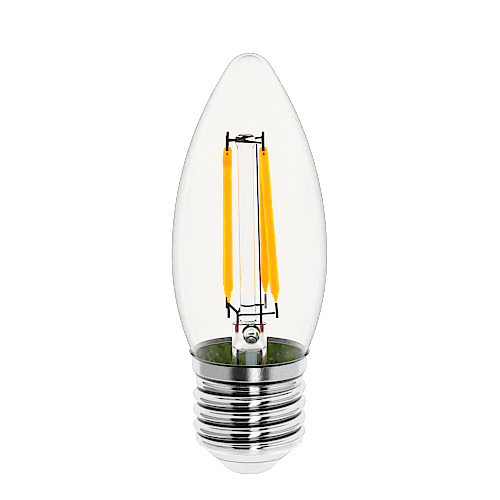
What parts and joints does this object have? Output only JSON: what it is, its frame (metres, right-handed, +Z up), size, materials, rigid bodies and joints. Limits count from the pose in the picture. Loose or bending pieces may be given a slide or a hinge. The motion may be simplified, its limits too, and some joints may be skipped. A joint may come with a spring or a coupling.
{
  "type": "candle bulb",
  "caption": "Clear candle-shaped LED filament bulb on a screw cap, with upright filaments held by wires round a glass stem inside a sealed blown envelope.",
  "frame": {"origin": "middle of the centre contact's outer face", "axes": "+Z up the lamp's axis, from the contact to the envelope's tip; the flat of the stem's press lies along X, and -Y faces the viewer"},
  "size_m": [0.0355, 0.0354, 0.0968],
  "materials": {
    "clear_glass": "clear blown glass, fire polished",
    "stem_glass": "clear pressed and drawn glass",
    "plated_shell": "nickel plated, satin on the collar and bright on the thread",
    "cap_plastic": "off-white moulded plastic",
    "contact_metal": "plated pressed metal",
    "olive_cement": "olive green set paste, grainy",
    "phosphor": "silicone with yellow phosphor, smooth",
    "tab_metal": "dark plated strip",
    "support_wire": "drawn wire, dull",
    "lead_wire": "drawn nickel wire",
    "seal_wire": "copper-clad wire, reddish in the glass",
    "hookup_wire": "tinned copper",
    "board_laminate": "green laminate",
    "moulded_black": "black moulded package",
    "capacitor_sleeve": "dark shrunk sleeve",
    "fuse_body": "pale blue coated ceramic"
  },
  "bodies": {
    "root": {"glass_envelope": "clear_glass", "stem_flare": "stem_glass", "exhaust_tube": "stem_glass", "stem_column": "stem_glass", "cap_shell": "plated_shell", "cap_insulator": "cap_plastic", "centre_contact": "contact_metal", "capping_cement": "olive_cement", "led_filament_front_left": "phosphor", "led_filament_back_left": "phosphor", "led_filament_front_right": "phosphor", "led_filament_back_right": "phosphor", "end_tab_top_front_left": "tab_metal", "end_tab_top_back_left": "tab_metal", "end_tab_top_front_right": "tab_metal", "end_tab_top_back_right": "tab_metal", "end_tab_bottom_front_left": "tab_metal", "end_tab_bottom_back_left": "tab_metal", "end_tab_bottom_front_right": "tab_metal", "end_tab_bottom_back_right": "tab_metal", "top_support_wire_lower": "support_wire", "top_support_wire_upper": "support_wire", "left_tie_wire": "support_wire", "front_cross_wire": "support_wire", "rear_cross_wire": "support_wire", "riser_wire": "support_wire", "inner_lead_left": "lead_wire", "inner_lead_right": "lead_wire", "outer_lead_left": "lead_wire", "outer_lead_right": "lead_wire", "seal_wire_left": "seal_wire", "seal_wire_right": "seal_wire", "live_wire": "hookup_wire", "neutral_wire": "hookup_wire", "driver_board": "board_laminate", "bridge_rectifier": "moulded_black", "driver_chip": "moulded_black", "smoothing_capacitor": "capacitor_sleeve", "fuse_resistor": "fuse_body"}
  },
  "joints": []
}
